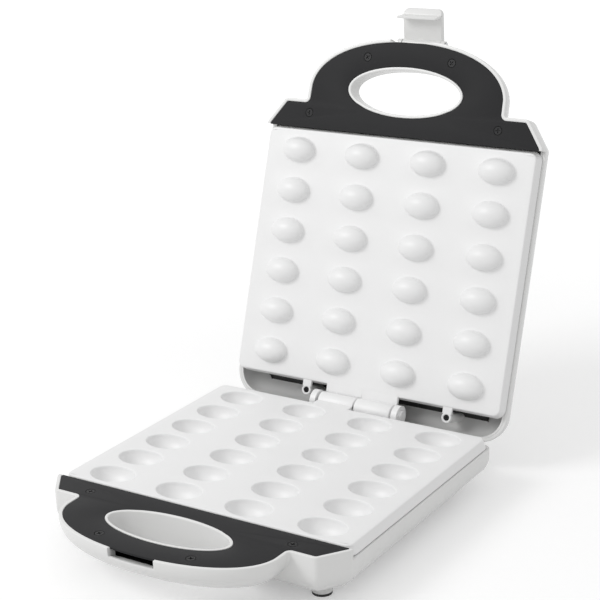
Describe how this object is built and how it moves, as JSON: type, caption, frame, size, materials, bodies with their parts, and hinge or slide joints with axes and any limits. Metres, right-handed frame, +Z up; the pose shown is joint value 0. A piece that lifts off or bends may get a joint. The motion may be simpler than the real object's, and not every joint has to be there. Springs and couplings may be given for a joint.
{
  "type": "electric nut shell baker",
  "caption": "Hinged electric press that bakes half-nut pastry shells between a cavity plate and a domed plate, with a flip-down handle latch, shown open.",
  "frame": {"origin": "on the table, in the middle of the footprint with the lid open", "axes": "+X to the user's right, +Y away from the user towards the hinge, +Z up; joint value 0 is the lid wide open with the latch hanging out"},
  "size_m": [0.2494, 0.4199, 0.3421],
  "materials": {
    "casing_white": "smooth glossy moulded plastic",
    "plate_coating": "white non-stick coating on cast aluminium",
    "trim_dark": "dark satin coated steel",
    "screw_dark": "blackened steel",
    "steel": "plain bright steel",
    "reflector_metal": "aluminised sheet",
    "element_sheath": "oxidised heater sheath",
    "ceramic": "ceramic and moulded insulation",
    "wire_sleeve": "heat-proof sleeve",
    "board_green": "circuit board",
    "rubber_black": "matte rubber",
    "lens_red": "clear red button",
    "lens_green": "clear green button"
  },
  "bodies": {
    "base": {"base_casing": "casing_white", "lower_baking_plate": "plate_coating", "lower_handle_trim": "trim_dark", "lower_trim_screws": "screw_dark", "lower_plate_screws": "steel", "lower_heating_element": "element_sheath", "lower_element_clamps": "steel", "lower_reflector": "reflector_metal", "thermostat": "ceramic", "thermal_fuse": "ceramic", "terminal_block": "ceramic", "lower_wiring": "wire_sleeve", "cord_gland": "rubber_black", "hinge_bracket": "plate_coating", "hinge_bracket_screws": "steel", "hinge_pin": "plate_coating", "hinge_pin_clip": "steel", "feet": "casing_white", "foot_pads": "rubber_black"},
    "lid": {"lid_casing": "casing_white", "upper_baking_plate": "plate_coating", "upper_handle_trim": "trim_dark", "upper_trim_screws": "screw_dark", "upper_plate_screws": "screw_dark", "upper_heating_element": "element_sheath", "upper_element_clamps": "steel", "upper_reflector": "reflector_metal", "lamp_board": "board_green", "power_lens": "lens_red", "ready_lens": "lens_green", "upper_wiring": "wire_sleeve", "latch_mount": "casing_white", "latch_mount_screws": "screw_dark", "latch_pin": "steel"},
    "latch": {"latch": "casing_white"}
  },
  "joints": [
    {"name": "lid_hinge", "type": "hinge", "parent": "base", "child": "lid", "pos_m": [0, 0.08795, 0.0385], "axis": [1, 0, 0], "range_deg": [0, 108.3]},
    {"name": "latch_hinge", "type": "hinge", "parent": "lid", "child": "latch", "pos_m": [0, 0.20335, 0.31389], "axis": [1, 0, 0], "range_deg": [-25, 69.3]}
  ]
}
